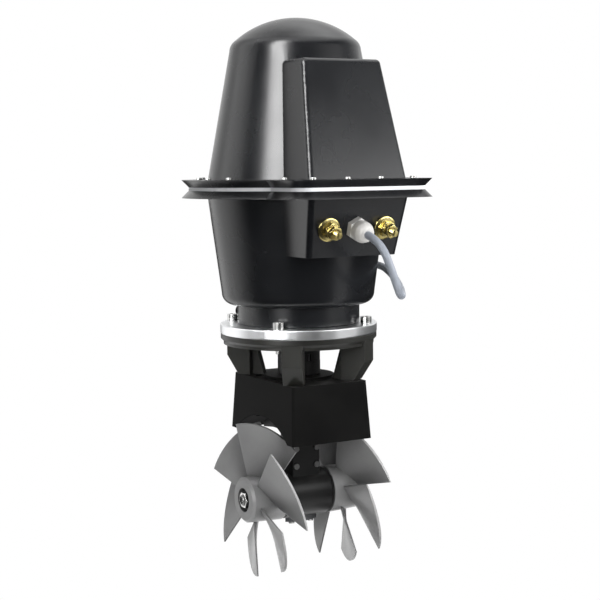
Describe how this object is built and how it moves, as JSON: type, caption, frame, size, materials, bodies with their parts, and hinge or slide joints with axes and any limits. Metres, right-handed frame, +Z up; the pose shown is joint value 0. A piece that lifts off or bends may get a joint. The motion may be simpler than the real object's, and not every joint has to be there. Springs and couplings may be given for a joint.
{
  "type": "bow thruster",
  "caption": "Electric bow thruster: sealed motor housing with terminal box on a tunnel saddle, drive leg below and a propeller on each side of its gear case.",
  "frame": {"origin": "centre of the tunnel seat: where the drive leg's vertical axis meets the propeller axis", "axes": "+X along the propeller axis (athwartships), -Y towards the terminal box, +Z up along the drive leg"},
  "size_m": [0.273, 0.3336, 0.6565],
  "materials": {
    "anode_zinc": "dull",
    "cable_grey": "matte",
    "gasket_white": "matte",
    "gland_grey": "satin",
    "housing_black": "satin",
    "leg_black": "satin",
    "machined_aluminium": "satin",
    "magnet_ferrite": "matte",
    "motor_steel": "satin",
    "propeller_grey": "matte",
    "stainless": "satin",
    "terminal_brass": "polished",
    "washer_black": "matte",
    "winding_copper": "satin"
  },
  "bodies": {
    "frame": {"anode": "anode_zinc", "anode_screws": "stainless", "bearing_carrier": "leg_black", "brush_end_bearing": "stainless", "brush_end_plate": "machined_aluminium", "brush_holder": "washer_black", "cable_gland": "gland_grey", "cable_plug": "washer_black", "carbon_brushes": "magnet_ferrite", "control_cable": "cable_grey", "cover_gasket": "gasket_white", "drive_end_bearing": "stainless", "drive_end_plate": "machined_aluminium", "drive_shaft_bearing": "stainless", "field_magnets": "magnet_ferrite", "flange_screws": "stainless", "gland_nut": "gland_grey", "leg_housing": "leg_black", "leg_screws": "stainless", "lower_housing": "housing_black", "motor_neck": "housing_black", "motor_yoke": "motor_steel", "mounting_bracket": "leg_black", "mounting_ring": "machined_aluminium", "negative_terminal": "terminal_brass", "pinion_bearing": "stainless", "positive_terminal": "terminal_brass", "ring_screws": "stainless", "saddle": "leg_black", "shaft_bearings": "stainless", "shaft_seals": "washer_black", "terminal_flange_nuts": "terminal_brass", "terminal_lock_nuts": "terminal_brass", "top_cover": "housing_black"},
    "motor_rotor": {"motor_shaft": "stainless", "armature_core": "motor_steel", "armature_windings": "winding_copper", "commutator": "winding_copper", "upper_coupling": "leg_black", "coupling_spider": "washer_black", "lower_coupling": "leg_black", "pinion_shaft": "stainless"},
    "propeller_shaft_set": {"propeller_shaft": "stainless", "propeller_left": "propeller_grey", "propeller_right": "propeller_grey", "propeller_washers": "washer_black", "propeller_nuts": "stainless", "shear_pins": "stainless", "crown_gear": "stainless"}
  },
  "joints": [
    {"name": "motor_spin", "type": "hinge", "parent": "frame", "child": "motor_rotor", "pos_m": [0, 0, 0.29], "axis": [0, 0, 1], "continuous": true},
    {"name": "propeller_spin", "type": "hinge", "parent": "frame", "child": "propeller_shaft_set", "pos_m": [0, 0, 0], "axis": [1, 0, 0], "continuous": true}
  ],
  "couplings": [
    {"joint": "propeller_spin", "follows": "motor_spin", "ratio": -0.48}
  ]
}
